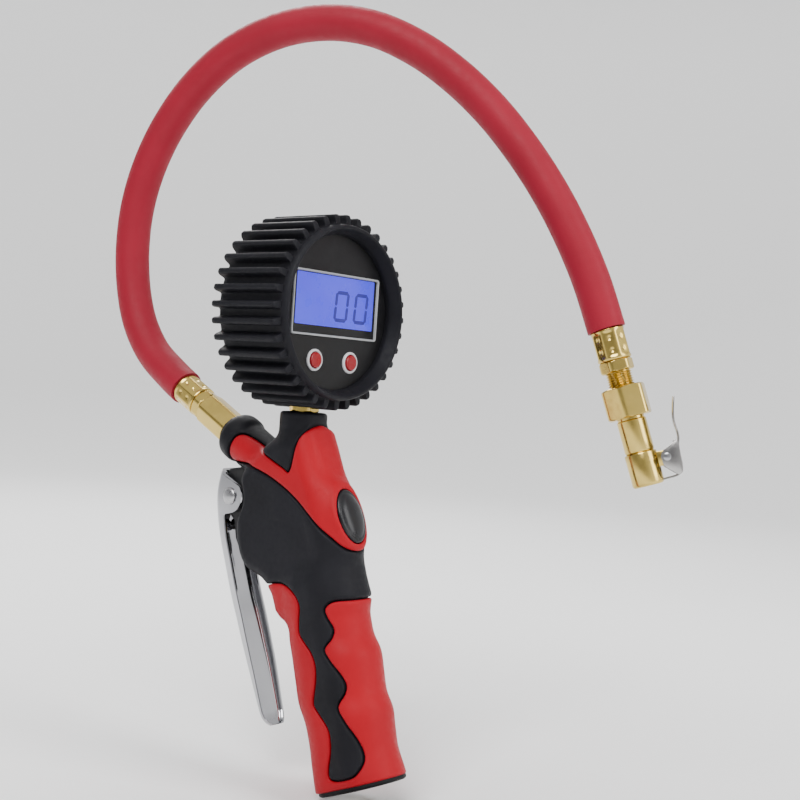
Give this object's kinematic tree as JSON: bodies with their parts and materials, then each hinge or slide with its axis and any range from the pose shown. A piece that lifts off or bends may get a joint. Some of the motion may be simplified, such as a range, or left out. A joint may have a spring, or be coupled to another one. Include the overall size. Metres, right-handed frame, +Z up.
{
  "type": "tyre inflator gun",
  "caption": "Pistol-grip tyre inflator: rubber-covered body with side lever, ribbed round digital gauge on top, arched red whip hose and brass clip-on chuck",
  "frame": {"origin": "the centre of the air inlet's mouth, in the bottom end of the grip", "axes": "+Z up along the gauge's stem, +X back towards the user and the way the gauge's face looks, so the lever is on -X and the grip's bottom end points to +X and down; +Y completes a right-handed frame"},
  "size_m": [0.2481, 0.1206, 0.3169],
  "materials": {
    "casting": "black-coated die-cast metal",
    "body_rubber": "soft satin black rubber",
    "red_rubber": "soft matt red rubber",
    "black_rubber": "plain black rubber",
    "badge": "glossy black dome",
    "brass": "turned and lightly polished",
    "steel": "bright machined steel",
    "chrome": "chromium-plated pressed steel",
    "nickel": "nickel-plated pressed steel",
    "black_plastic": "moulded black plastic",
    "face": "matt black printed face",
    "grey_plastic": "satin grey plastic",
    "silver_plastic": "silver-grey printed ring",
    "lens": "clear window",
    "display": "blue-lit liquid crystal display",
    "board": "green circuit board",
    "cell": "sleeved dry cell",
    "red_plastic": "glossy red button",
    "hose_rubber": "matt red rubber hose"
  },
  "bodies": {
    "housing": {"valve_body": "casting", "overmould": "body_rubber", "head_band": "red_rubber", "grip_pads": "red_rubber", "base_ring": "black_rubber", "rear_badge": "badge", "inlet_bushing": "brass", "inlet_strainer": "steel", "valve_seat": "brass", "valve_plug": "brass", "plunger_gland": "brass", "plunger_seal": "black_rubber", "lever_pin": "steel", "gauge_stem": "brass", "stem_seal": "black_rubber", "gauge_boot": "body_rubber", "gauge_case": "black_plastic", "gauge_back_cover": "black_plastic", "cover_screws": "steel", "face_plate": "face", "lcd_frame": "grey_plastic", "lcd_lens": "lens", "lcd_module": "display", "circuit_board": "board", "button_switches": "grey_plastic", "battery_cells": "cell", "battery_contacts": "steel", "pressure_sensor": "steel", "button_rings": "silver_plastic", "port_adaptor": "brass", "port_fitting": "brass", "port_ferrule": "brass", "hose": "hose_rubber", "tip_ferrule": "brass", "tip_fitting": "brass", "chuck_body": "brass", "chuck_nose": "brass", "chuck_washer": "black_rubber", "chuck_depressor": "brass", "clip_pin": "steel", "clip_spring": "steel"},
    "lever": {"lever": "chrome"},
    "valve_stem": {"valve_plunger": "steel", "poppet": "brass", "poppet_seal": "black_rubber", "valve_spring": "steel"},
    "left_button": {"left_button": "red_plastic"},
    "right_button": {"right_button": "red_plastic"},
    "chuck_clip": {"clip_lever": "nickel"}
  },
  "joints": [
    {"name": "lever_pivot", "type": "hinge", "parent": "housing", "child": "lever", "pos_m": [-0.0735, 0, 0.103], "axis": [0, -1, 0], "range_deg": [0, 6], "stiffness_Nm_per_rad": 0.6, "springref_deg": -20.05},
    {"name": "plunger_slide", "type": "slide", "parent": "housing", "child": "valve_stem", "axis": [1, 0, 0], "range_m": [0, 0.0013], "deforming": ["valve_spring"]},
    {"name": "left_button_press", "type": "slide", "parent": "housing", "child": "left_button", "axis": [-1, 0, 0], "range_m": [0, 0.0008], "stiffness_N_per_m": 500, "springref_m": -0.0005},
    {"name": "right_button_press", "type": "slide", "parent": "housing", "child": "right_button", "axis": [-1, 0, 0], "range_m": [0, 0.0008], "stiffness_N_per_m": 500, "springref_m": -0.0005},
    {"name": "clip_pivot", "type": "hinge", "parent": "housing", "child": "chuck_clip", "pos_m": [0.07839, 0.07521, 0.13179], "axis": [0.4911, -0.8693, 0.0565], "range_deg": [0, 15], "stiffness_Nm_per_rad": 0.08, "springref_deg": -28.65}
  ],
  "couplings": [
    {"joint": "plunger_slide", "follows": "lever_pivot", "m_per_rad": 0.012}
  ]
}
